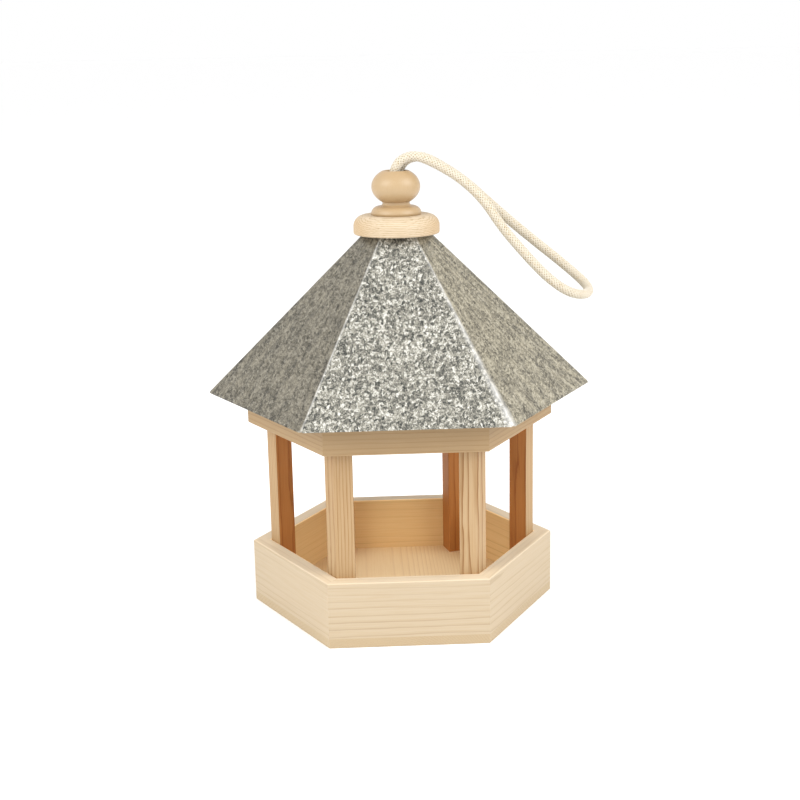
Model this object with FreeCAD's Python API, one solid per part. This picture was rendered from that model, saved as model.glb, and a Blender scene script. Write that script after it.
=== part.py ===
import FreeCAD, Part
import math
import os

# Hexagonal hanging bird feeder: a pine tray, six posts and a frieze ring carry a
# folded zinc roof that lifts up along its own hanging cord.
# Millimetres, +Z up, origin at the centre of the tray's underside.
# One flat side of the hexagon faces -Y and its corners lie at 0, 60, 120 ... degrees.

os.makedirs("parts", exist_ok=True)

V = FreeCAD.Vector
UP = V(0, 0, 1)

# ---- boards and posts ----
RING_RADIUS = 80.0        # centre to outer corner of the tray and of the frieze ring
BOARD_THICKNESS = 8.3     # strips of the tray and the frieze
FLOOR_THICKNESS = 5.0     # board under the tray strips, flush with their outer faces
TRAY_STRIP_HEIGHT = 29.0
OPENING_HEIGHT = 65.0     # tray rim to the underside of the frieze
FRIEZE_HEIGHT = 35.1
POST_FACE = 9.4           # each of a post's two outer faces, planed to meet at 120 degrees
POST_IN_FRIEZE = 22.0     # how far a post stands up behind the frieze
STRIP_EASE = 0.9          # rounding along the strips' long edges
POST_EASE = 0.4
FLOOR_EASE = 0.5

# ---- bar that the cord hangs the feeder from ----
BAR_WIDTH = 22.0
BAR_THICKNESS = 8.3
BAR_END_GAP = 0.3         # between the bar's pointed ends and the frieze

# ---- zinc roof ----
ROOF_OVERHANG = 20.0      # eave corner beyond the ring's corner, outside
ROOF_TOP_RADIUS = 17.3    # centre to corner where the facets stop under the collar
ROOF_PITCH = 48.5         # of a facet, in degrees
SHEET = 0.7
ROOF_SEAT_GAP = 0.25      # roof to the frieze's outer top edges, along Z
FOLD_RADIUS = 1.3         # outside radius of the five folds and the seam
HEM_WIDTH = 7.0           # the eave's turned-in flange
HEM_NOTCH = 3.4           # gap between two flanges at a corner
CORNER_RELIEF = 1.3       # radius of the relief cut at each eave corner
SEAM_LAP = 8.0            # flap behind the front-left ridge
BLOCK_HEIGHT = 15.0       # wooden block inside the roof's top
SEAM_BLOCK_GAP = 2.0      # the flap stops this far below the block
SEAM_FRIEZE_GAP = 1.0     # and starts this far above the frieze ring

# ---- collar and finial ----
COLLAR_RADIUS = 22.0
COLLAR_THICKNESS = 9.5
COLLAR_TOP_ROUND = 5.6
COLLAR_BOTTOM_ROUND = 0.8
FOOT_RADIUS = 12.8
FOOT_EDGE = 1.2           # height of the foot's widest line above the collar
FOOT_HEIGHT = 4.4
FOOT_SHOULDER = 9.2       # radius where the foot's round turns into the cove
FOOT_BULGE = 0.8          # how far the foot's round stands out from its chord
FOOT_UNDERCUT = 0.5       # the foot's lower edge draws in by this much
COVE_HOLLOW = 0.45
NECK_RADIUS = 6.95
NECK_HEIGHT = 5.6         # where the cove ends, above the collar
NECK_LENGTH = 0.8
BALL_RADIUS = 12.4
BALL_HALF_HEIGHT = 9.4
MOUTH_ROUND = 0.9         # rounding of the cord hole's rim on top of the ball

# ---- cord ----
CORD_DIAMETER = 5.0
BEND_SHARE = 0.45         # part of a run that each bend of the loop takes up
HOLE_CLEARANCE = 0.3      # round the pair of strands, in every hole they pass
STRAND_CLEARANCE = 0.1    # between each straight strand and the axis
STRAND_TURN = 60.0        # direction of the far strand from the axis, in degrees
STRAND_GAP = 0.3          # between the loop's ends and the straight strands below them
KNOT_BEARING = 2.6        # how far the knot reaches past the bar's hole, all round
KNOT_HEIGHT = 13.0
KNOT_ROUND = 4.5
TAIL_LENGTH = 8.0

# Route of the outer loop, out of the finial, round and back. X and Y are from the
# axis, Z is from the finial's top. Its two ends meet the cord's straight legs.
LOOP_ROUTE = [
    (-1.3, -2.25, -8.0),
    (-1.3, -2.25, -2.0),
    (1.2, -2.45, 3.5),
    (5.6, -2.6, 6.4),
    (11.6, -2.75, 6.8),
    (21.5, -3.0, 2.2),
    (33.5, -3.8, -5.3),
    (44.5, -5.4, -16.0),
    (53.0, -7.4, -29.3),
    (63.0, -9.6, -41.3),
    (74.5, -10.9, -54.0),
    (84.0, -10.6, -61.5),
    (91.3, -8.4, -64.9),
    (98.1, -2.3, -65.9),
    (100.4, 5.5, -64.5),
    (97.4, 11.0, -60.5),
    (85.5, 11.2, -50.1),
    (73.0, 10.0, -40.0),
    (60.0, 7.6, -29.0),
    (47.5, 5.0, -17.9),
    (35.5, 3.4, -6.8),
    (23.8, 2.8, 1.1),
    (14.4, 2.6, 6.1),
    (8.4, 2.5, 5.9),
    (3.9, 2.4, 3.4),
    (1.3, 2.25, -1.8),
    (1.3, 2.25, -8.0),
]

# ---- fasteners ----
BRAD_RADIUS = 0.7
BRAD_HEAD_RADIUS = 1.5
BRAD_HEAD_HEIGHT = 0.7
BRAD_LENGTH = 18.0
BRAD_SPACING = 46.0       # between the two brads of one strip
BRAD_POINT_FLAT = 0.1     # radius at the very tip
SCREW_RADIUS = 1.5
SCREW_HEAD_RADIUS = 2.9
SCREW_HEAD_HEIGHT = 1.9
SCREW_POINT_FLAT = 0.2
POINT_TAPER = 2.0         # length of a point, in shank radii
SCREW_RECESS = 0.8        # depth of the cross slot
SCREW_SLOT = 0.7          # width of the cross slot
SLOT_REACH = 1.25         # length of the cross slot, in head radii
POST_SCREW_LENGTH = 25.0
BAR_SCREW_LENGTH = 20.0
COLLAR_SCREW_LENGTH = 19.0
COLLAR_SCREW_WALL = 1.7   # wood left between a collar screw's head and the cord's hole
HEAD_SINK = 0.2           # heads lie this far below the wood's face

# ---- places that follow from the sizes ----
COS30 = math.cos(math.radians(30))
INNER_RADIUS = RING_RADIUS - BOARD_THICKNESS / COS30
ROOF_RADIUS = RING_RADIUS + ROOF_OVERHANG
TRAY_TOP = FLOOR_THICKNESS + TRAY_STRIP_HEIGHT
FRIEZE_BOTTOM = TRAY_TOP + OPENING_HEIGHT
FRIEZE_TOP = FRIEZE_BOTTOM + FRIEZE_HEIGHT
POST_TOP = FRIEZE_BOTTOM + POST_IN_FRIEZE
BAR_TOP = POST_TOP + BAR_THICKNESS

PITCH = math.radians(ROOF_PITCH)
RIDGE_SLOPE = math.tan(PITCH) * COS30            # height per length of corner radius
SHEET_INSET = SHEET / math.sin(PITCH) / COS30    # sheet thickness, as corner radius
EAVE = FRIEZE_TOP + ROOF_SEAT_GAP + SHEET / math.cos(PITCH) - ROOF_OVERHANG * RIDGE_SLOPE
ROOF_TOP = EAVE + (ROOF_RADIUS - ROOF_TOP_RADIUS) * RIDGE_SLOPE
COLLAR_TOP = ROOF_TOP + COLLAR_THICKNESS

STRAND_OFFSET = CORD_DIAMETER / 2 + STRAND_CLEARANCE
FAR_X = STRAND_OFFSET * math.cos(math.radians(STRAND_TURN))
FAR_Y = STRAND_OFFSET * math.sin(math.radians(STRAND_TURN))
LEG_TOP = LOOP_ROUTE[0][2]
HOLE_RADIUS = STRAND_OFFSET + CORD_DIAMETER / 2 + HOLE_CLEARANCE
KNOT_RADIUS = HOLE_RADIUS + KNOT_BEARING
COLLAR_SCREW_SPREAD = HOLE_RADIUS + COLLAR_SCREW_WALL + SCREW_HEAD_RADIUS
BALL_FOOT = BALL_HALF_HEIGHT * math.sqrt(1 - (NECK_RADIUS / BALL_RADIUS) ** 2)
BALL_CENTRE = COLLAR_TOP + NECK_HEIGHT + NECK_LENGTH + BALL_FOOT
FINIAL_TOP = BALL_CENTRE + BALL_HALF_HEIGHT * math.sqrt(1 - (HOLE_RADIUS / BALL_RADIUS) ** 2)

CORNERS = ["right", "back_right", "back_left", "left", "front_left", "front_right"]
SIDES = ["back_right", "back", "back_left", "front_left", "front", "front_right"]


def save(name, shape):
    """Write one named piece and print what it holds."""
    shape.exportStep("parts/%s.step" % name)
    print("%-24s %9.1f mm3  solids %2d  valid %s"
          % (name, shape.Volume, len(shape.Solids), shape.isValid()))


def corner(radius, index, z=0.0):
    """Corner of a hexagon, counted anticlockwise from +X."""
    angle = math.radians(60 * index)
    return V(radius * math.cos(angle), radius * math.sin(angle), z)


def prism(points, z0, z1):
    """Upright prism over an outline."""
    base = [V(p.x, p.y, z0) for p in points]
    face = Part.Face(Part.makePolygon(base + [base[0]]))
    return face.extrude(V(0, 0, z1 - z0))


def hexagon(radius, z0, z1):
    return prism([corner(radius, i) for i in range(6)], z0, z1)


def frustum(radius0, z0, radius1, z1):
    """Six-sided pyramid without its tip."""
    wires = []
    for radius, z in ((radius0, z0), (radius1, z1)):
        ring = [corner(radius, i, z) for i in range(6)]
        wires.append(Part.makePolygon(ring + [ring[0]]))
    return Part.makeLoft(wires, True, True)


def is_level(edge, z):
    return all(abs(v.Z - z) < 1e-6 for v in edge.Vertexes)


def is_upright(edge):
    direction = edge.Vertexes[1].Point - edge.Vertexes[0].Point
    return abs(direction.x) < 1e-6 and abs(direction.y) < 1e-6


def ease_long_edges(shape, levels, radius, shortest):
    """Round the long level edges of a strip at the given heights."""
    edges = [e for e in shape.Edges
             if e.Length > shortest and any(is_level(e, z) for z in levels)]
    return shape.makeFillet(radius, edges)


# ---- fasteners, made first because the wood is bored to suit them ----

def brad(place):
    """Flat-headed brad driven up along +Z from its head."""
    tip = BRAD_RADIUS * POINT_TAPER
    head = Part.makeCylinder(BRAD_HEAD_RADIUS, BRAD_HEAD_HEIGHT, place)
    shank = Part.makeCylinder(BRAD_RADIUS, BRAD_LENGTH - tip, place)
    point = Part.makeCone(BRAD_RADIUS, BRAD_POINT_FLAT, tip, place + UP * (BRAD_LENGTH - tip))
    return head.fuse([shank, point]).removeSplitter()


def screw(place, direction, length):
    """Countersunk screw with a cross slot, driven along direction from its head."""
    tip = SCREW_RADIUS * POINT_TAPER
    head = Part.makeCone(SCREW_HEAD_RADIUS, SCREW_RADIUS, SCREW_HEAD_HEIGHT, V(0, 0, 0))
    shank = Part.makeCylinder(SCREW_RADIUS, length - tip, V(0, 0, 0))
    point = Part.makeCone(SCREW_RADIUS, SCREW_POINT_FLAT, tip, V(0, 0, length - tip))
    body = head.fuse([shank, point]).removeSplitter()
    body.Placement = FreeCAD.Placement(place, FreeCAD.Rotation(UP, direction))
    return body


def cross_slot(place, direction):
    """The slot's two blades, as a solid to cut from a screw's head."""
    long_side = SCREW_HEAD_RADIUS * SLOT_REACH
    blades = []
    for width, depth in ((long_side, SCREW_SLOT), (SCREW_SLOT, long_side)):
        blades.append(Part.makeBox(width, depth, SCREW_RECESS, V(-width / 2, -depth / 2, 0)))
    slot = blades[0].fuse(blades[1]).removeSplitter()
    slot.Placement = FreeCAD.Placement(place, FreeCAD.Rotation(UP, direction))
    return slot


def screw_set(places, direction, length):
    """The slotted screws, and the plain shapes that bore their holes."""
    plain = [screw(p, direction, length) for p in places]
    slotted = [s.cut(cross_slot(p, direction)) for s, p in zip(plain, places)]
    return slotted, plain


def strip_frame(side):
    """Middle of a strip's thickness and the direction along it."""
    a = corner((RING_RADIUS + INNER_RADIUS) / 2, side)
    b = corner((RING_RADIUS + INNER_RADIUS) / 2, side + 1)
    along = b - a
    along.normalize()
    return (a + b) * 0.5, along


def brad_places():
    places = []
    for side in range(6):
        middle, along = strip_frame(side)
        for way in (-1, 1):
            places.append(middle + along * (way * BRAD_SPACING / 2) + UP * HEAD_SINK)
    return places


def post_outline(index):
    """A square post whose outer corner is planed back to the frame's 120 degrees."""
    outer = corner(INNER_RADIUS, index)
    inward = outer * -1
    inward.normalize()
    across = V(-inward.y, inward.x, 0)
    half_width = POST_FACE * COS30
    side_depth = POST_FACE / 2
    inner_depth = side_depth + half_width
    return [
        outer,
        outer + inward * side_depth + across * half_width,
        outer + inward * inner_depth,
        outer + inward * side_depth - across * half_width,
    ]


def post_axis(index, z):
    points = post_outline(index)
    middle = (points[1] + points[3]) * 0.5
    return V(middle.x, middle.y, z)


def hollow_cutter(z0, z1):
    """Round hole for the two strands of the cord."""
    return Part.makeCylinder(HOLE_RADIUS, z1 - z0, V(0, 0, z0))


floor_brads = [brad(p) for p in brad_places()]
foot_places = [post_axis(i, HEAD_SINK) for i in range(6)]
post_screws, post_bores = screw_set(foot_places, UP, POST_SCREW_LENGTH)
bar_screw_places = [post_axis(i, BAR_TOP - HEAD_SINK) for i in (0, 3)]
bar_screws, bar_bores = screw_set(bar_screw_places, UP * -1, BAR_SCREW_LENGTH)
collar_screw_places = [V(0, way * COLLAR_SCREW_SPREAD, ROOF_TOP - BLOCK_HEIGHT + HEAD_SINK)
                       for way in (-1, 1)]
collar_screws, collar_bores = screw_set(collar_screw_places, UP, COLLAR_SCREW_LENGTH)


# ---- tray ----

def floor_board():
    board = hexagon(RING_RADIUS, 0, FLOOR_THICKNESS)
    lower = [e for e in board.Edges if is_level(e, 0)]
    return board.makeFillet(FLOOR_EASE, lower).cut(floor_brads + post_bores)


def strip(side, z0, z1, eased_levels):
    """One mitred board of a six-sided ring."""
    outline = [
        corner(RING_RADIUS, side),
        corner(RING_RADIUS, side + 1),
        corner(INNER_RADIUS, side + 1),
        corner(INNER_RADIUS, side),
    ]
    board = prism(outline, z0, z1)
    return ease_long_edges(board, eased_levels, STRIP_EASE, BOARD_THICKNESS * 2)


def post(index):
    body = prism(post_outline(index), FLOOR_THICKNESS, POST_TOP)
    body = body.makeFillet(POST_EASE, [e for e in body.Edges if is_upright(e)])
    return body.cut(post_bores + bar_bores)


def cross_bar():
    """Bar from corner to corner on two post tops, its ends pointed to fit the frieze."""
    reach = INNER_RADIUS - BAR_END_GAP / COS30
    blank = Part.makeBox(reach * 2, BAR_WIDTH, BAR_THICKNESS, V(-reach, -BAR_WIDTH / 2, POST_TOP))
    bar = blank.common(hexagon(reach, POST_TOP, BAR_TOP))
    return bar.cut(bar_bores + [hollow_cutter(POST_TOP, BAR_TOP)])


# ---- roof ----

def roof_shell(inset, ridge_round):
    """The roof's solid outline, inset by a corner radius, with rounded ridges."""
    body = frustum(ROOF_RADIUS - inset, EAVE, ROOF_TOP_RADIUS - inset, ROOF_TOP)
    ridges = [e for e in body.Edges if not (is_level(e, EAVE) or is_level(e, ROOF_TOP))]
    return body.makeFillet(ridge_round, ridges)


def hem_flange(side):
    """Turned-in strip along one eave, cut short of the corners."""
    a = corner(ROOF_RADIUS, side)
    b = corner(ROOF_RADIUS, side + 1)
    along = b - a
    along.normalize()
    inward = (a + b) * -0.5
    inward.normalize()
    start = SHEET / math.sin(PITCH) / 2
    half = HEM_NOTCH / 2
    outer_a = a + along * (start / COS30 / 2 + half) + inward * start
    outer_b = b - along * (start / COS30 / 2 + half) + inward * start
    run_in = HEM_WIDTH - start
    slant = run_in * math.tan(math.radians(30)) + half / 2
    inner_a = outer_a + along * slant + inward * run_in
    inner_b = outer_b - along * slant + inward * run_in
    return prism([outer_a, outer_b, inner_b, inner_a], EAVE, EAVE + SHEET)


def seam_flap():
    """The front-left facet's edge, folded on and lapped behind the front facet."""
    inset = SHEET_INSET
    outer = frustum(ROOF_RADIUS - inset, EAVE, ROOF_TOP_RADIUS - inset, ROOF_TOP)
    inner = frustum(ROOF_RADIUS - 2 * inset, EAVE, ROOF_TOP_RADIUS - 2 * inset, ROOF_TOP)
    ridge_low = corner(ROOF_RADIUS, 4)
    ridge_high = corner(ROOF_TOP_RADIUS, 4)
    near = V(FOLD_RADIUS * 2, 0, 0)
    far = near + V(SEAM_LAP, 0, 0)
    band = prism([ridge_low + near, ridge_low + far, ridge_high + far, ridge_high + near],
                 FRIEZE_TOP + SEAM_FRIEZE_GAP, ROOF_TOP - BLOCK_HEIGHT - SEAM_BLOCK_GAP)
    return outer.cut(inner).common(band)


def roof_sheet():
    shell = roof_shell(0, FOLD_RADIUS).cut(roof_shell(SHEET_INSET, FOLD_RADIUS - SHEET))
    sheet = shell.fuse([hem_flange(side) for side in range(6)] + [seam_flap()])
    reliefs = [Part.makeSphere(CORNER_RELIEF, corner(ROOF_RADIUS, i, EAVE)) for i in range(6)]
    return sheet.cut(reliefs).removeSplitter()


def roof_block():
    """Wooden block that fills the roof's top and takes the collar's screws."""
    base = ROOF_TOP - BLOCK_HEIGHT
    slab = hexagon(ROOF_RADIUS, base, ROOF_TOP)
    block = roof_shell(SHEET_INSET, FOLD_RADIUS - SHEET).common(slab)
    return block.cut(collar_bores + [hollow_cutter(base, ROOF_TOP)])


# ---- turned pieces ----

def arc(a, mid, b):
    return Part.Arc(V(*a), V(*mid), V(*b)).toShape()


def line(a, b):
    return Part.makeLine(V(*a), V(*b))


def turned(edges):
    """Solid of revolution round Z from a closed outline in the XZ plane."""
    return Part.Face(Part.Wire(edges)).revolve(V(0, 0, 0), UP, 360)


def bowed(a, b, bow):
    """Arc between two points of an outline, standing out from its chord by bow."""
    chord = V(*b) - V(*a)
    out = V(chord.z, 0, -chord.x)
    out.normalize()
    middle = (V(*a) + V(*b)) * 0.5 + out * bow
    return Part.Arc(V(*a), middle, V(*b)).toShape()


def quarter_mid(centre_x, centre_z, radius, degrees):
    angle = math.radians(degrees)
    return (centre_x + radius * math.cos(angle), 0, centre_z + radius * math.sin(angle))


def collar_disc():
    low, top = ROOF_TOP, COLLAR_TOP
    r, small, large = COLLAR_RADIUS, COLLAR_BOTTOM_ROUND, COLLAR_TOP_ROUND
    edges = [
        line((HOLE_RADIUS, 0, low), (r - small, 0, low)),
        arc((r - small, 0, low), quarter_mid(r - small, low + small, small, -45),
            (r, 0, low + small)),
        line((r, 0, low + small), (r, 0, top - large)),
        arc((r, 0, top - large), quarter_mid(r - large, top - large, large, 45),
            (r - large, 0, top)),
        line((r - large, 0, top), (HOLE_RADIUS, 0, top)),
        line((HOLE_RADIUS, 0, top), (HOLE_RADIUS, 0, low)),
    ]
    return turned(edges).cut(collar_bores)


def finial():
    """Turned foot, cove, neck and flattened ball with a hole right through."""
    base = COLLAR_TOP
    neck_low = base + NECK_HEIGHT
    neck_high = BALL_CENTRE - BALL_FOOT
    ball = Part.Ellipse(V(0, 0, BALL_CENTRE), BALL_RADIUS, BALL_HALF_HEIGHT)
    ball.Axis = V(0, -1, 0)
    ball.XAxis = V(1, 0, 0)
    start = -math.asin(BALL_FOOT / BALL_HALF_HEIGHT)
    end = math.asin((FINIAL_TOP - BALL_CENTRE) / BALL_HALF_HEIGHT)
    foot_low = (FOOT_RADIUS - FOOT_UNDERCUT, 0, base)
    foot_wide = (FOOT_RADIUS, 0, base + FOOT_EDGE)
    shoulder = (FOOT_SHOULDER, 0, base + FOOT_HEIGHT)
    neck = (NECK_RADIUS, 0, neck_low)
    edges = [
        line((HOLE_RADIUS, 0, base), foot_low),
        bowed(foot_low, foot_wide, FOOT_UNDERCUT / 4),
        bowed(foot_wide, shoulder, FOOT_BULGE),
        bowed(shoulder, neck, -COVE_HOLLOW),
        line(neck, (NECK_RADIUS, 0, neck_high)),
        Part.ArcOfEllipse(ball, start, end).toShape(),
        line((HOLE_RADIUS, 0, FINIAL_TOP), (HOLE_RADIUS, 0, base)),
    ]
    body = turned(edges)
    rim = [e for e in body.Edges if is_level(e, FINIAL_TOP)]
    return body.makeFillet(MOUTH_ROUND, rim)


# ---- cord ----

def route_path(points):
    """Straight runs joined by tangent arcs, and the smallest arc radius."""
    edges = []
    radii = []
    start = points[0]
    for before, here, after in zip(points, points[1:], points[2:]):
        run_in = here - before
        run_out = after - here
        half_turn = run_in.getAngle(run_out) / 2
        setback = BEND_SHARE * min(run_in.Length, run_out.Length)
        radius = setback / math.tan(half_turn)
        radii.append(radius)
        run_in.normalize()
        run_out.normalize()
        entry = here - run_in * setback
        leave = here + run_out * setback
        toward = run_out - run_in
        toward.normalize()
        middle = here + toward * (radius / math.cos(half_turn) - radius)
        edges.append(Part.LineSegment(start, entry).toShape())
        edges.append(Part.Arc(entry, middle, leave).toShape())
        start = leave
    edges.append(Part.LineSegment(start, points[-1]).toShape())
    return Part.Wire(edges), radii


def tube(points, diameter):
    """Round cord along a route, with its radii and its volume checked in print."""
    path, radii = route_path(points)
    direction = points[1] - points[0]
    section = Part.Wire(Part.makeCircle(diameter / 2, points[0], direction))
    solid = path.makePipeShell([section], True, True)
    expected = math.pi * diameter ** 2 / 4 * path.Length
    print("cord length %.1f  smallest arc %.1f  volume %.1f of %.1f"
          % (path.Length, min(radii), solid.Volume, expected))
    print("arc radii", [round(r, 1) for r in radii])
    return solid


def cord_loop():
    points = [V(x, y, z + FINIAL_TOP) for x, y, z in LOOP_ROUTE]
    return tube(points, CORD_DIAMETER)


def cord_leg(x, y):
    """Straight strand from the knot under the bar up into the finial."""
    length = FINIAL_TOP + LEG_TOP - STRAND_GAP - POST_TOP
    return Part.makeCylinder(CORD_DIAMETER / 2, length, V(x, y, POST_TOP))


def cord_knot():
    """Stopper knot under the bar, with the cord's two short tails."""
    low = POST_TOP - KNOT_HEIGHT
    body = Part.makeCylinder(KNOT_RADIUS, KNOT_HEIGHT, V(0, 0, low))
    body = body.makeFillet(KNOT_ROUND, [e for e in body.Edges if e.Closed])
    reach = TAIL_LENGTH + KNOT_ROUND
    tails = [Part.makeCylinder(CORD_DIAMETER / 2, reach, V(x, y, low - TAIL_LENGTH))
             for x, y in ((-FAR_X, -FAR_Y), (FAR_X, FAR_Y))]
    return body.fuse(tails)


# ---- write every piece ----

save("floor_board", floor_board())
for side, name in enumerate(SIDES):
    save("tray_wall_" + name, strip(side, FLOOR_THICKNESS, TRAY_TOP, [TRAY_TOP]).cut(floor_brads))
    save("frieze_" + name, strip(side, FRIEZE_BOTTOM, FRIEZE_TOP, [FRIEZE_BOTTOM]))
for index, name in enumerate(CORNERS):
    save("post_" + name, post(index))
save("cross_bar", cross_bar())
save("floor_brads", Part.makeCompound(floor_brads))
save("post_screws", Part.makeCompound(post_screws))
save("bar_screws", Part.makeCompound(bar_screws))
save("roof_sheet", roof_sheet())
save("roof_block", roof_block())
save("collar_screws", Part.makeCompound(collar_screws))
save("collar_disc", collar_disc())
save("finial", finial())
save("cord_loop", cord_loop())
save("cord_leg_near", cord_leg(-FAR_X, -FAR_Y))
save("cord_leg_far", cord_leg(FAR_X, FAR_Y))
save("cord_knot", cord_knot())
print("eave %.2f  roof top %.2f  finial top %.2f" % (EAVE, ROOF_TOP, FINIAL_TOP))
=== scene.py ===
import bpy
import bmesh
import math
from mathutils import Matrix, Vector


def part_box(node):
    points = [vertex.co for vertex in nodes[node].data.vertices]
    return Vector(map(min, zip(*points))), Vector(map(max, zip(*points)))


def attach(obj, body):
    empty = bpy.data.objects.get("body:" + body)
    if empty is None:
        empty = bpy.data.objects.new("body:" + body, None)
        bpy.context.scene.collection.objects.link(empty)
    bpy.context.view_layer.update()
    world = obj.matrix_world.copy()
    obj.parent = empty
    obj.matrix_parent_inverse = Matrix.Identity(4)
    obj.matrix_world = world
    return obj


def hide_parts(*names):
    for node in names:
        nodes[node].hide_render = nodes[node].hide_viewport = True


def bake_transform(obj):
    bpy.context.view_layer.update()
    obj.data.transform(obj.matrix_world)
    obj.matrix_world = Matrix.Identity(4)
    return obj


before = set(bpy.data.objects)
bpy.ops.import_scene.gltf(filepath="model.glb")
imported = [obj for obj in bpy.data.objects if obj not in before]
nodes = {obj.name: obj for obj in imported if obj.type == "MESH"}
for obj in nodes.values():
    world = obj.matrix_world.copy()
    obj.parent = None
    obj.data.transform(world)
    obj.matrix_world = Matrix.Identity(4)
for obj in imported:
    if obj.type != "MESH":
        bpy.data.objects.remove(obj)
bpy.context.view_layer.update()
sides = ["back_right", "back", "back_left", "front_left", "front", "front_right"]
corners = ["right", "back_right", "back_left", "left", "front_left", "front_right"]
plain = (1.0, 1.0, 1.0)
# sockets of a colour mix
firstColour, secondColour, mixedColour = 6, 7, 2


def newMaterial(name):
    material = bpy.data.materials.new(name)
    material.use_nodes = True
    return material, material.node_tree.nodes, material.node_tree.links


def addNode(tree, kind, **values):
    node = tree.new(kind)
    for key, value in values.items():
        if key in node.inputs:
            node.inputs[key].default_value = value
        else:
            setattr(node, key, value)
    return node


def noise(tree, links, vector, scale, detail, roughness=0.5):
    node = addNode(tree, "ShaderNodeTexNoise", Scale=scale, Detail=detail, Roughness=roughness)
    links.new(vector, node.inputs["Vector"])
    return node.outputs


def mapping(tree, links, vector, turn=(0, 0, 0), shift=(0, 0, 0), scale=(1, 1, 1)):
    node = addNode(tree, "ShaderNodeMapping", Rotation=turn, Location=shift, Scale=scale)
    links.new(vector, node.inputs["Vector"])
    return node.outputs["Vector"]


def split(tree, links, vector):
    node = addNode(tree, "ShaderNodeSeparateXYZ")
    links.new(vector, node.inputs["Vector"])
    return node.outputs


def calculate(tree, links, operation, *values):
    # a value may be a number or another node's output
    node = addNode(tree, "ShaderNodeMath", operation=operation)
    for socket, value in zip(node.inputs, values):
        if isinstance(value, float):
            socket.default_value = value
        else:
            links.new(value, socket)
    return node.outputs["Value"]


def combine(tree, links, operation, output, *vectors):
    node = addNode(tree, "ShaderNodeVectorMath", operation=operation)
    for socket, vector in zip(node.inputs, vectors):
        if isinstance(vector, tuple):
            socket.default_value = vector
        else:
            links.new(vector, socket)
    return node.outputs[output]


def mapRange(tree, links, value, start, end, low=0.0, high=1.0):
    # goes from low to high as the value goes from start to end
    node = addNode(tree, "ShaderNodeMapRange")
    for socket, number in (("From Min", start), ("From Max", end), ("To Min", low), ("To Max", high)):
        if isinstance(number, float):
            node.inputs[socket].default_value = number
        else:
            links.new(number, node.inputs[socket])
    links.new(value, node.inputs["Value"])
    return node.outputs["Result"]


def ramped(tree, links, value, stops):
    ramp = tree.new("ShaderNodeValToRGB")
    elements = ramp.color_ramp.elements
    while len(elements) < len(stops):
        elements.new(0.5)
    for element, (place, colour) in zip(elements, stops):
        element.position = place
        element.color = (*colour, 1)
    links.new(value, ramp.inputs["Fac"])
    return ramp.outputs["Color"]


def mix(tree, links, first, second, factor, blend="MIX"):
    # colours may be plain values or other nodes' outputs, and so may the factor
    node = addNode(tree, "ShaderNodeMix", data_type="RGBA", blend_type=blend)
    for socket, colour in ((firstColour, first), (secondColour, second)):
        if isinstance(colour, tuple):
            node.inputs[socket].default_value = (*colour, 1)
        else:
            links.new(colour, node.inputs[socket])
    if isinstance(factor, float):
        node.inputs["Factor"].default_value = factor
    else:
        links.new(factor, node.inputs["Factor"])
    return node.outputs[mixedColour]


def tintWhere(tree, links, colour, value, span, tint, strength=1.0):
    # multiplies a tint in as the value goes through its span
    amount = mapRange(tree, links, value, *span, high=strength)
    return mix(tree, links, colour, tint, amount, "MULTIPLY")


def addBump(tree, links, shader, height, strength, depth):
    bump = addNode(tree, "ShaderNodeBump", Strength=strength, Distance=depth)
    links.new(height, bump.inputs["Height"])
    links.new(bump.outputs["Normal"], shader.inputs["Normal"])


def dress(name, material):
    mesh = nodes[name].data
    mesh.materials.clear()
    mesh.materials.append(material)


wood = {
    "waveLength": 0.314, "ringDetail": 3.0, "fibreDetail": 5.0, "fibreRoughness": 0.6, "driftDetail": 2.0,
    "lateWood": ((0.0, "mid"), (0.10, "light"), (0.55, "light"), (0.84, "mid"), (0.97, "dark")),
    "driftSpan": (0.35, 0.65), "fibreSpan": (0.36, 0.58), "endSpan": (0.15, 0.7), "innerLightShadeSpan": (-0.05, -0.45),
    "outerSpan": (0.1, 0.5), "topLightSpan": (0.4, 0.8), "ringRelief": 0.5, "bumpDepth": 0.00025, "fibreShift": 3,
}


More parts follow.
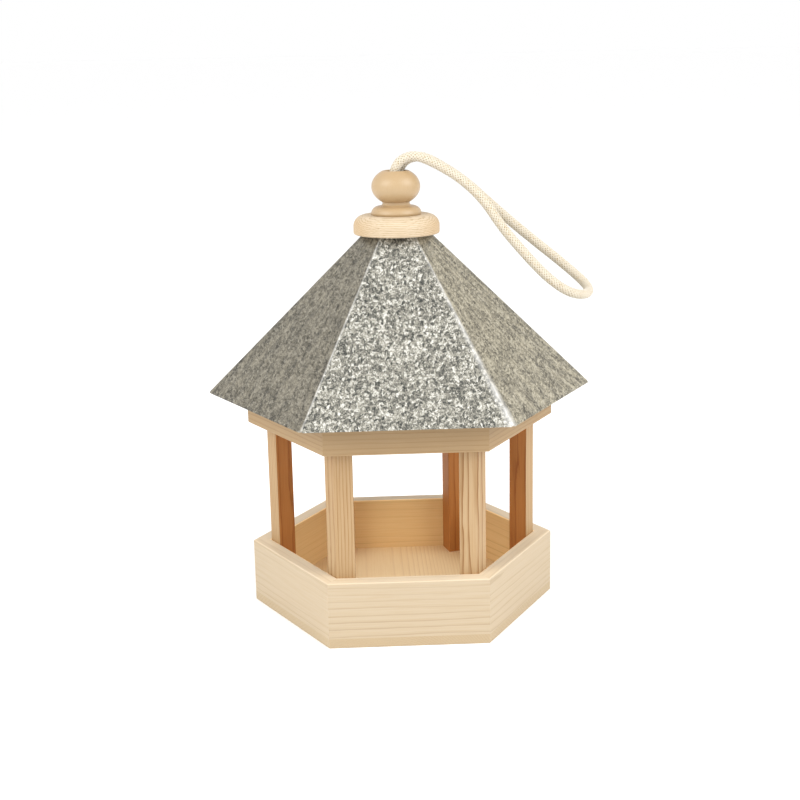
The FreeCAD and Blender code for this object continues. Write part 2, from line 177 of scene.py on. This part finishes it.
def woodMaterial(name, look, turn=(0, 0, 0), pith=(0.055, -0.035), seed=0.0):
    # after the turn the grain runs along local X, and the pith is a line beside the piece
    material, tree, links = newMaterial(name)
    shader = tree["Principled BSDF"]
    coords = addNode(tree, "ShaderNodeTexCoord").outputs
    turned = mapping(tree, links, coords["Object"], turn=turn)
    shifted = mapping(tree, links, turned, shift=(seed, *pith), scale=(look["along"], 1, 1))
    thread = mapping(tree, links, turned, shift=(seed * wood["fibreShift"], 0, 0),
                     scale=(look["fibreAlong"], 1, 1))

    rings = addNode(tree, "ShaderNodeTexWave", wave_type="RINGS", rings_direction="X", wave_profile="SAW",
                    Scale=wood["waveLength"] / look["ringWidth"], Distortion=look["wander"],
                    Detail=wood["ringDetail"])
    rings.inputs["Detail Scale"].default_value = look["wanderScale"]
    links.new(shifted, rings.inputs["Vector"])
    fibres = noise(tree, links, thread, look["fibreScale"], wood["fibreDetail"],
                   wood["fibreRoughness"])["Fac"]
    drift = noise(tree, links, shifted, look["driftScale"], wood["driftDetail"])["Fac"]

    tones = [(place, look[tone]) for place, tone in wood["lateWood"]]
    base = ramped(tree, links, rings.outputs["Fac"], tones)
    # how plain the late wood shows changes slowly over the board
    shown = mapRange(tree, links, drift, *wood["driftSpan"], low=look["fade"])
    ringed = mix(tree, links, look["light"], base, shown)
    fibreLow, fibreHigh = wood["fibreSpan"]
    streak = ramped(tree, links, fibres, [(fibreLow, look["fibreTint"]), (fibreHigh, plain)])
    colour = mix(tree, links, ringed, streak, look["fibreStrength"], "MULTIPLY")

    # end grain soaks up more and is browner: faces across the grain
    across = split(tree, links, mapping(tree, links, coords["Normal"], turn=turn))["X"]
    across = calculate(tree, links, "MULTIPLY", across, across)
    colour = tintWhere(tree, links, colour, across, wood["endSpan"], look["endTint"])

    # faces that look in towards the middle get painted bounce light and painted shade of a deeper orange:
    # lighter on the boards, darker on the posts
    level = combine(tree, links, "MULTIPLY", "Vector", coords["Object"], (1, 1, 0))
    outward = combine(tree, links, "NORMALIZE", "Vector", level)
    facing = combine(tree, links, "DOT_PRODUCT", "Value", outward, coords["Normal"])
    colour = tintWhere(tree, links, colour, facing, wood["innerLightShadeSpan"], look["innerTint"],
                       look["innerStrength"])
    # outward faces get their own tint, which on the floor board takes the painted light back off its outer
    # edges
    colour = tintWhere(tree, links, colour, facing, wood["outerSpan"], look["outerTint"])
    # upper faces are painted lighter than the sides, as painted light from above
    upward = split(tree, links, coords["Normal"])["Z"]
    colour = tintWhere(tree, links, colour, upward, wood["topLightSpan"], look["topTint"])
    links.new(colour, shader.inputs["Base Color"])

    relief = calculate(tree, links, "MULTIPLY_ADD", rings.outputs["Fac"], wood["ringRelief"], fibres)
    addBump(tree, links, shader, relief, look["bump"], wood["bumpDepth"])
    shader.inputs["Roughness"].default_value = look["rough"]
    shader.inputs["Specular IOR Level"].default_value = look["gloss"]
    return material


def lookOf(base, **changes):
    look = dict(base)
    look.update(changes)
    return look


# pine's inner tint is painted bounce light, lighter and more orange, on faces that look in towards the middle
# pine's top tint is painted light on upward faces
pine = {
    "along": 0.09, "fibreAlong": 0.025, "ringWidth": 0.0036, "wander": 2.9, "wanderScale": 1.7, "fade": 0.05,
    "fibreScale": 1700.0, "driftScale": 26.0,
    "light": (0.475, 0.385, 0.27), "mid": (0.455, 0.362, 0.246), "dark": (0.36, 0.275, 0.175),
    "fibreTint": (0.93, 0.88, 0.80), "fibreStrength": 0.55, "endTint": (0.82, 0.70, 0.55),
    "innerTint": (1.72, 1.50, 1.05), "innerStrength": 1.0, "outerTint": plain, "topTint": (1.46, 1.50, 1.55),
    "bump": 0.2, "rough": 0.6, "gloss": 0.3,
}
friezePine = lookOf(
    pine, light=(0.375, 0.255, 0.135), mid=(0.35, 0.232, 0.118), dark=(0.275, 0.17, 0.08),
    ringWidth=0.0023, wander=2.8, fade=0.4)
# the posts' inner tint is painted shade of a deeper orange on their inward faces
postPine = lookOf(
    pine, light=(0.415, 0.28, 0.149), mid=(0.365, 0.23, 0.11), dark=(0.263, 0.14, 0.051),
    ringWidth=0.0016, fade=0.75, fibreStrength=1.0, innerTint=(1.08, 0.65, 0.31), topTint=plain)
boldPine = lookOf(
    postPine, light=(0.43, 0.295, 0.162), mid=(0.344, 0.213, 0.103), dark=(0.20, 0.09, 0.022),
    ringWidth=0.0034, wander=6.5, wanderScale=1.8, fade=0.95)
# the floor board is painted lighter than its wood, as painted light making up for the shade inside the tray,
# and its outward edges are tinted back darker
floorPaintedLightPine = lookOf(
    pine, light=(0.90, 0.70, 0.42), mid=(0.87, 0.66, 0.385), dark=(0.77, 0.565, 0.32),
    ringWidth=0.0012, wander=0.5, fade=0.2, endTint=(0.97, 0.95, 0.92), outerTint=(0.50, 0.51, 0.56),
    topTint=plain)
collarPine = lookOf(
    pine, light=(0.56, 0.455, 0.325), mid=(0.49, 0.385, 0.25), dark=(0.29, 0.19, 0.095),
    ringWidth=0.0009, wander=4.6, wanderScale=2.2, fade=0.8, innerStrength=0.0, endTint=(0.93, 0.86, 0.76),
    topTint=plain)
# beech is even: its rings don't show
beechTone = (0.42, 0.30, 0.168)
beech = lookOf(
    pine, light=beechTone, mid=beechTone, dark=beechTone, fibreScale=2400.0, fibreAlong=0.12,
    fibreStrength=0.4, innerStrength=0.0, endTint=(0.97, 0.93, 0.88), topTint=plain,
    bump=0.0, rough=0.38, gloss=0.45)

# where in the log each board is cut, so that no two look alike
cuts = {
    "first": 0.02, "step": 0.011, "shuffle": 5, "wallPith": 0.05, "friezePith": (0.04, -0.2),
    "postPith": (0.03, 0.025), "postStep": (0.006, -0.007), "firstSide": 120, "sideStep": 60,
    "wallSeed": 0.37, "friezeSeed": 0.53, "postSeed": 0.41,
}
# a board's grain runs along its own side of the hexagon
for index, side in enumerate(sides):
    turn = (0, 0, -math.radians(cuts["firstSide"] + cuts["sideStep"] * index))
    off = cuts["first"] + cuts["step"] * ((index * cuts["shuffle"]) % len(sides))
    wallPith = (cuts["wallPith"] + off / 2, -off)
    friezePith = (cuts["friezePith"][0], cuts["friezePith"][1] - off)
    dress("tray_wall_" + side,
          woodMaterial("pineTray_" + side, pine, turn, wallPith, index * cuts["wallSeed"]))
    dress("frieze_" + side,
          woodMaterial("pineFrieze_" + side, friezePine, turn, friezePith, index * cuts["friezeSeed"]))
upright = (0, math.pi / 2, 0)
for index, name in enumerate(corners):
    look = boldPine if name == "front_right" else postPine
    postPith = [first + step * index for first, step in zip(cuts["postPith"], cuts["postStep"])]
    dress("post_" + name, woodMaterial("pinePost_" + name, look, upright, postPith, index * cuts["postSeed"]))
for name, label, look, turn, pith, seed in (
        ("floor_board", "pineFloor", floorPaintedLightPine, (0, 0, math.pi / 2), (0.012, 0.035), 0.2),
        ("cross_bar", "pineBar", pine, (0, 0, 0), (0.03, -0.16), 0.6),
        ("roof_block", "pineBlock", pine, (0, 0, 0), (0.03, -0.22), 0.9),
        ("collar_disc", "pineCollar", collarPine, (0, 0, 0), (0.018, -0.235), 1.1),
        ("finial", "beechFinial", beech, upright, (0.02, 0.03), 1.4)):
    dress(name, woodMaterial(label, look, turn, pith, seed))
print("wood done")


zinc = {
    "leaf": 820.0, "smallLeaf": 2.1, "leafStretch": (1.0, 0.5, 1.0), "leafTurn": (0.6, 0.5, 0.7),
    "crossTurn": (-0.5, 0.9, -0.6), "warp": 190.0, "warpReach": (0.0022, 0.0022, 0.0022),
    "grit": 2600.0, "cloud": 130.0, "streak": 13.0, "slopeStretch": 9.0,
    "leafShare": 0.45, "cloudShare": 0.35, "levelShare": 0.6, "faintShare": 0.5, "streakShare": 0.6,
    "deep": (0.03, 0.033, 0.03), "grey": (0.155, 0.15, 0.128), "pale": (0.33, 0.315, 0.26),
    # the dull colours are painted shade for the sideways facets
    "glint": (0.68, 0.67, 0.62), "sideShadeDark": (0.05, 0.044, 0.031), "sideShadePale": (0.29, 0.265, 0.205),
    # the left tint is painted shade and the right tint painted light
    "sideShadeSpan": (0.2, 0.5), "sideShadeMix": 0.88, "leftShadeTint": (0.78, 0.76, 0.72), "rightLightTint": (1.42, 1.40, 1.32),
    # the fold colour, strengths and widths are for painted highlights along the folds
    "foldHighlightTone": (0.68, 0.67, 0.64), "foldHighlightFaint": 0.55, "foldHighlightBright": 0.95, "foldHighlightNarrow": 0.00084,
    "foldHighlightWide": 0.00384, "foldEnd": -0.0043, "highlightPatchSpan": (0.35, 0.6), "highlightPatchLeast": 0.35,
    "metallic": 0.35, "roughLow": 0.32, "roughHigh": 0.6, "bump": 0.1, "bumpDepth": 0.0002,
}


def crystals(tree, links, vector, scale):
    # random values that are the same all over one crystal
    cells = addNode(tree, "ShaderNodeTexVoronoi", Scale=scale, Randomness=1.0)
    links.new(vector, cells.inputs["Vector"])
    parts = addNode(tree, "ShaderNodeSeparateColor")
    links.new(cells.outputs["Color"], parts.inputs["Color"])
    return parts.outputs


def foldDistance(tree, links, place):
    # the six folds lie in three upright planes through the middle
    nearest = None
    for angle in (0, 60, 120):
        sideways = (-math.sin(math.radians(angle)), math.cos(math.radians(angle)), 0)
        across = combine(tree, links, "DOT_PRODUCT", "Value", place, sideways)
        away = calculate(tree, links, "ABSOLUTE", across)
        nearest = away if nearest is None else calculate(tree, links, "MINIMUM", nearest, away)
    return nearest


def slopeCoords(tree, links, place):
    # angle round the middle and height, so that streaks run down every slope
    parts = split(tree, links, place)
    angle = calculate(tree, links, "ARCTAN2", parts["Y"], parts["X"])
    joined = addNode(tree, "ShaderNodeCombineXYZ")
    links.new(angle, joined.inputs["X"])
    slant = calculate(tree, links, "MULTIPLY_ADD", parts["Z"], zinc["slopeStretch"], angle)
    links.new(slant, joined.inputs["Y"])
    return joined.outputs["Vector"]


def foldHighlights(tree, links, place, cloud):
    # painted highlights along the folds: on the front right and back left folds they widen more and more
    # towards the eave, the others stay narrow
    spot = split(tree, links, place)
    product = calculate(tree, links, "MULTIPLY", spot["X"], spot["Y"])
    width = mapRange(tree, links, product, 0.0, zinc["foldEnd"], zinc["foldHighlightNarrow"], zinc["foldHighlightWide"])
    strength = mapRange(tree, links, product, 0.0, zinc["foldEnd"], zinc["foldHighlightFaint"], zinc["foldHighlightBright"])
    foldShine = mapRange(tree, links, foldDistance(tree, links, place), width, 0.0, high=strength)
    # the painted highlight is patchy along each fold
    shinePatches = mapRange(tree, links, cloud, *zinc["highlightPatchSpan"], low=zinc["highlightPatchLeast"])
    return calculate(tree, links, "MULTIPLY", foldShine, shinePatches)


def zincMaterial():
    material, tree, links = newMaterial("zinc")
    shader = tree["Principled BSDF"]
    coords = addNode(tree, "ShaderNodeTexCoord").outputs
    place = coords["Object"]
    warp = noise(tree, links, place, zinc["warp"], 2.0)["Color"]
    bent = combine(tree, links, "MULTIPLY_ADD", "Vector", warp, zinc["warpReach"], place)
    leaned = mapping(tree, links, bent, turn=zinc["leafTurn"], scale=zinc["leafStretch"])
    crossed = mapping(tree, links, bent, turn=zinc["crossTurn"], scale=zinc["leafStretch"])
    large = crystals(tree, links, leaned, zinc["leaf"])
    small = crystals(tree, links, crossed, zinc["leaf"] * zinc["smallLeaf"])
    grit = noise(tree, links, place, zinc["grit"], 3.0, 0.75)["Fac"]
    cloud = noise(tree, links, place, zinc["cloud"], 4.0, 0.6)["Fac"]

    level = calculate(tree, links, "MULTIPLY_ADD", small["Red"], zinc["leafShare"], grit)
    level = calculate(tree, links, "MULTIPLY_ADD", large["Red"], zinc["leafShare"], level)
    level = calculate(tree, links, "MULTIPLY_ADD", cloud, zinc["cloudShare"], level)
    level = calculate(tree, links, "MULTIPLY", level, zinc["levelShare"])
    spangle = ramped(tree, links, level, [
        (0.46, zinc["deep"]), (0.62, zinc["grey"]), (0.76, zinc["pale"]), (0.9, zinc["glint"])])

    # facets that face sideways get painted shade, darker and browner, with faint crystals and streaks down
    # the slope
    leaning = split(tree, links, coords["Normal"])["X"]
    sideways = calculate(tree, links, "ABSOLUTE", leaning)
    amount = mapRange(tree, links, sideways, *zinc["sideShadeSpan"], high=zinc["sideShadeMix"])
    streaks = noise(tree, links, slopeCoords(tree, links, place), zinc["streak"], 4.0, 0.65)["Fac"]
    faint = calculate(tree, links, "MULTIPLY", level, zinc["faintShare"])
    sideShadeLevel = calculate(tree, links, "MULTIPLY_ADD", streaks, zinc["streakShare"], faint)
    sideShadeTone = ramped(tree, links, sideShadeLevel, [(0.50, zinc["sideShadeDark"]), (0.76, zinc["sideShadePale"])])
    # facets that lean left get painted shade and those that lean right painted light, as if lit from the
    # right
    sideLightAndShade = ramped(tree, links, mapRange(tree, links, leaning, -1.0, 1.0), [
        (0.25, zinc["leftShadeTint"]), (0.5, plain), (0.75, zinc["rightLightTint"])])
    facetShadeTone = mix(tree, links, sideShadeTone, sideLightAndShade, 1.0, "MULTIPLY")
    # sideways facets take the painted shade
    colour = mix(tree, links, spangle, facetShadeTone, amount)
    # painted highlights along the folds
    colour = mix(tree, links, colour, zinc["foldHighlightTone"], foldHighlights(tree, links, place, cloud))
    links.new(colour, shader.inputs["Base Color"])

    rough = mapRange(tree, links, large["Green"], 0.0, 1.0, zinc["roughLow"], zinc["roughHigh"])
    links.new(rough, shader.inputs["Roughness"])
    addBump(tree, links, shader, level, zinc["bump"], zinc["bumpDepth"])
    shader.inputs["Metallic"].default_value = zinc["metallic"]
    return material


dress("roof_sheet", zincMaterial())

screws = {
    "grain": 2500.0, "dark": (0.48, 0.48, 0.47), "light": (0.62, 0.62, 0.6), "metallic": 1.0, "rough": 0.35,
}


def steelMaterial():
    material, tree, links = newMaterial("steel")
    shader = tree["Principled BSDF"]
    place = addNode(tree, "ShaderNodeTexCoord").outputs["Object"]
    speckle = noise(tree, links, place, screws["grain"], 3.0)["Fac"]
    tone = ramped(tree, links, speckle, [(0.3, screws["dark"]), (0.7, screws["light"])])
    links.new(tone, shader.inputs["Base Color"])
    shader.inputs["Metallic"].default_value = screws["metallic"]
    shader.inputs["Roughness"].default_value = screws["rough"]
    return material


steel = steelMaterial()
for name in ("floor_brads", "post_screws", "bar_screws", "collar_screws"):
    dress(name, steel)
print("metal done")


cord = {
    "diameter": 0.005, "yarns": 8, "lead": 0.0135, "depth": 0.00034, "underYarn": 0.62,
    "around": 64, "step": 0.00045, "innerAround": 32, "innerStep": 0.0007,
    # the dark tone is painted shade for the grooves between the yarns
    "light": (0.60, 0.545, 0.445), "mid": (0.47, 0.40, 0.29), "dark": (0.16, 0.11, 0.06),
    "fleck": (0.80, 0.68, 0.48), "fleckStrength": 0.8, "fuzz": 3200.0, "flecks": 900.0, "fuzzShare": 0.5,
    "bump": 0.35, "bumpDepth": 0.0002, "rough": 0.92, "sheen": 0.25,
    "routeEndBelowTop": 0.008, "strandGap": 0.0003,
}
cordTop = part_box("cord_leg_near")[1].z + cord["strandGap"] + cord["routeEndBelowTop"]


def cottonMaterial():
    # the yarns' own height is kept on the mesh, so that the grooves can be darker with painted shade
    material, tree, links = newMaterial("cotton")
    shader = tree["Principled BSDF"]
    place = addNode(tree, "ShaderNodeTexCoord").outputs["Object"]
    height = addNode(tree, "ShaderNodeAttribute", attribute_name="yarnHeight").outputs["Fac"]
    fuzz = noise(tree, links, place, cord["fuzz"], 4.0, 0.7)["Fac"]
    flecks = noise(tree, links, place, cord["flecks"], 2.0)["Fac"]
    lift = calculate(tree, links, "MULTIPLY_ADD", fuzz, cord["fuzzShare"], height)
    # painted shade in the grooves, with the yarn tops lighter
    tone = ramped(tree, links, lift, [(0.45, cord["dark"]), (0.78, cord["mid"]), (1.0, cord["light"])])
    speck = ramped(tree, links, flecks, [(0.33, cord["fleck"]), (0.42, plain)])
    links.new(mix(tree, links, tone, speck, cord["fleckStrength"], "MULTIPLY"), shader.inputs["Base Color"])
    addBump(tree, links, shader, fuzz, cord["bump"], cord["bumpDepth"])
    shader.inputs["Roughness"].default_value = cord["rough"]
    shader.inputs["Sheen Weight"].default_value = cord["sheen"]
    return material


cotton = cottonMaterial()

loopRoute = [
    (-1.3, -2.25, -8.0), (-1.3, -2.25, -2.0), (1.2, -2.45, 3.5), (5.6, -2.6, 6.4), (11.6, -2.75, 6.8),
    (21.5, -3.0, 2.2), (33.5, -3.8, -5.3), (44.5, -5.4, -16.0), (53.0, -7.4, -29.3), (63.0, -9.6, -41.3),
    (74.5, -10.9, -54.0), (84.0, -10.6, -61.5), (91.3, -8.4, -64.9), (98.1, -2.3, -65.9), (100.4, 5.5, -64.5),
    (97.4, 11.0, -60.5), (85.5, 11.2, -50.1), (73.0, 10.0, -40.0), (60.0, 7.6, -29.0), (47.5, 5.0, -17.9),
    (35.5, 3.4, -6.8), (23.8, 2.8, 1.1), (14.4, 2.6, 6.1), (8.4, 2.5, 5.9), (3.9, 2.4, 3.4),
    (1.3, 2.25, -1.8), (1.3, 2.25, -8.0),
]


def smoothPath(points, fineness=24):
    # points along the NURBS spline that has the route's points as its control points
    data = bpy.data.curves.new("route", "CURVE")
    data.dimensions = "3D"
    spline = data.splines.new("NURBS")
    spline.points.add(len(points) - 1)
    for point, place in zip(spline.points, points):
        point.co = (*place, 1)
    spline.order_u = 3
    spline.use_endpoint_u = True
    data.resolution_u = fineness
    carrier = bpy.data.objects.new("route", data)
    bpy.context.scene.collection.objects.link(carrier)
    line = bpy.data.meshes.new_from_object(carrier)
    path = [v.co.copy() for v in line.vertices]
    bpy.data.objects.remove(carrier)
    bpy.data.meshes.remove(line)
    return path


def evenly(path, step):
    # the same line with its points a step apart
    total = sum((b - a).length for a, b in zip(path, path[1:]))
    count = max(2, round(total / step))
    spacing = total / count
    even, walked, target = [path[0].copy()], 0.0, spacing
    for a, b in zip(path, path[1:]):
        length = (b - a).length
        while length > 1e-9 and target <= walked + length + 1e-9 and len(even) < count:
            even.append(a.lerp(b, (target - walked) / length))
            target += spacing
        walked += length
    even.append(path[-1].copy())
    return even, spacing


def braidHeight(turn, distance):
    # 0 in a groove and 1 on top of a yarn, with every other crossing on top
    twist = 2 * math.pi * distance / cord["lead"]
    first = cord["yarns"] * (turn + twist) / 2
    second = cord["yarns"] * (turn - twist) / 2
    over = (math.floor(first / math.pi) + math.floor(second / math.pi)) % 2
    a, b = abs(math.sin(first)), abs(math.sin(second))
    return max(a, cord["underYarn"] * b) if over else max(b, cord["underYarn"] * a)


def braidedTube(name, points, around=None, step=None):
    around = around or cord["around"]
    path, spacing = evenly(points, step or cord["step"])
    mesh = bpy.data.meshes.new(name)
    build = bmesh.new()
    ahead = (path[1] - path[0]).normalized()
    side = ahead.orthogonal().normalized()
    rings, heights = [], []
    for index, point in enumerate(path):
        before, after = path[max(index - 1, 0)], path[min(index + 1, len(path) - 1)]
        nextAhead = (after - before).normalized()
        side.rotate(ahead.rotation_difference(nextAhead))
        ahead = nextAhead
        other = ahead.cross(side)
        ring = []
        for k in range(around):
            turn = 2 * math.pi * k / around
            height = braidHeight(turn, index * spacing)
            radius = cord["diameter"] / 2 - cord["depth"] * (1 - height)
            ring.append(build.verts.new(point + (side * math.cos(turn) + other * math.sin(turn)) * radius))
            heights.append(height)
        rings.append(ring)
    for low, high in zip(rings, rings[1:]):
        for k in range(around):
            n = (k + 1) % around
            build.faces.new((low[k], low[n], high[n], high[k]))
    build.faces.new(list(reversed(rings[0])))
    build.faces.new(rings[-1])
    for face in build.faces:
        face.smooth = len(face.verts) == 4
    build.to_mesh(mesh)
    build.free()
    mesh.attributes.new("yarnHeight", "FLOAT", "POINT").data.foreach_set("value", heights)
    mesh.materials.append(cotton)
    tube = bpy.data.objects.new(name, mesh)
    bpy.context.scene.collection.objects.link(tube)
    return tube


def makeLoop():
    route = [(x / 1000, y / 1000, cordTop + z / 1000) for x, y, z in loopRoute]
    path = smoothPath(route)
    loop = braidedTube("cord_outer_loop", path)
    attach(loop, "roof")
    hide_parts("cord_loop")


def makeStrand(name, cadNode):
    # straight strand up to the loop; its lower end stays where it is when the roof lifts
    low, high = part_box(cadNode)
    middle = (low + high) / 2
    ends = [Vector((middle.x, middle.y, low.z)), Vector((middle.x, middle.y, high.z))]
    strand = braidedTube(name, ends, around=cord["innerAround"], step=cord["innerStep"])
    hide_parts(cadNode)
    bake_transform(strand)


knot = {"turns": 2.5, "wrap": 0.0053, "tail": 0.008, "endGap": 0.0026, "points": 22, "step": 0.0006}


def makeKnot():
    # the cord wrapped round itself under the bar, with both tails hanging out below
    low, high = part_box("cord_knot")
    bottom, top = low.z + knot["tail"] + knot["endGap"], high.z - knot["endGap"]
    wraps = []
    for index in range(knot["points"] + 1):
        share = index / knot["points"]
        angle = 2 * math.pi * knot["turns"] * share
        height = bottom + (top - bottom) * share
        wraps.append((knot["wrap"] * math.cos(angle), knot["wrap"] * math.sin(angle), height))
    piece = braidedTube("cord_knot_wraps", smoothPath(wraps), around=cord["innerAround"], step=knot["step"])
    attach(piece, "feeder")
    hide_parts("cord_knot")
    for label, cadNode in (("near", "cord_leg_near"), ("far", "cord_leg_far")):
        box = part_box(cadNode)
        middle = (box[0] + box[1]) / 2
        ends = [Vector((middle.x, middle.y, low.z)), Vector((middle.x, middle.y, high.z))]
        end = braidedTube("cord_tail_" + label, ends, around=cord["innerAround"], step=cord["innerStep"])
        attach(end, "feeder")


makeLoop()
makeStrand("cord_strand_near", "cord_leg_near")
makeStrand("cord_strand_far", "cord_leg_far")
makeKnot()
print("cord done")


stageLook = {
    "size": 200.0, "tone": plain, "rough": 0.9, "surround": 1.0, "middle": (0, 0, 0.11), "lightSize": 1.0,
    "key": 14.0, "keyPlace": (0.98, -0.62, 0.98), "fill": 13.0, "fillPlace": (-0.98, -0.68, 0.92),
}


def makeStage():
    mesh = bpy.data.meshes.new("floor")
    build = bmesh.new()
    bmesh.ops.create_grid(build, x_segments=1, y_segments=1, size=stageLook["size"] / 2)
    build.to_mesh(mesh)
    build.free()
    floor = bpy.data.objects.new("floor", mesh)
    bpy.context.scene.collection.objects.link(floor)
    material, tree, links = newMaterial("paper")
    tree["Principled BSDF"].inputs["Base Color"].default_value = (*stageLook["tone"], 1)
    tree["Principled BSDF"].inputs["Roughness"].default_value = stageLook["rough"]
    mesh.materials.append(material)


def areaLight(name, place, power):
    data = bpy.data.lights.new(name, "AREA")
    data.size = stageLook["lightSize"]
    data.energy = power
    light = bpy.data.objects.new(name, data)
    light.location = place
    light.rotation_euler = (Vector(stageLook["middle"]) - Vector(place)).to_track_quat("-Z", "Y").to_euler()
    bpy.context.scene.collection.objects.link(light)


def makeLights():
    areaLight("key", stageLook["keyPlace"], stageLook["key"])
    areaLight("fill", stageLook["fillPlace"], stageLook["fill"])
    world = bpy.data.worlds.new("studio")
    world.use_nodes = True
    backdrop = world.node_tree.nodes["Background"]
    backdrop.inputs["Color"].default_value = (1, 1, 1, 1)
    backdrop.inputs["Strength"].default_value = stageLook["surround"]
    bpy.context.scene.world = world
    bpy.context.scene.view_settings.view_transform = "Standard"


cameraLook = {
    "place": (-0.0263, -0.7175, 0.2873), "turn": 2.1, "pitch": 13.96, "roll": 1.14, "lens": 63.3,
    "sensor": 36, "nearest": 0.01,
}


def makeCamera():
    data = bpy.data.cameras.new("camera")
    data.sensor_width = cameraLook["sensor"]
    data.lens = cameraLook["lens"]
    data.clip_start = cameraLook["nearest"]
    camera = bpy.data.objects.new("camera", data)
    camera.location = cameraLook["place"]
    turn = math.radians(cameraLook["turn"])
    pitch = math.radians(cameraLook["pitch"])
    ahead = Vector((math.sin(turn) * math.cos(pitch), math.cos(turn) * math.cos(pitch), -math.sin(pitch)))
    facing = ahead.to_track_quat("-Z", "Y").to_matrix().to_4x4()
    facing = facing @ Matrix.Rotation(math.radians(-cameraLook["roll"]), 4, "Z")
    camera.rotation_euler = facing.to_euler()
    bpy.context.scene.collection.objects.link(camera)
    bpy.context.scene.camera = camera


makeStage()
makeLights()
makeCamera()
print("stage done")
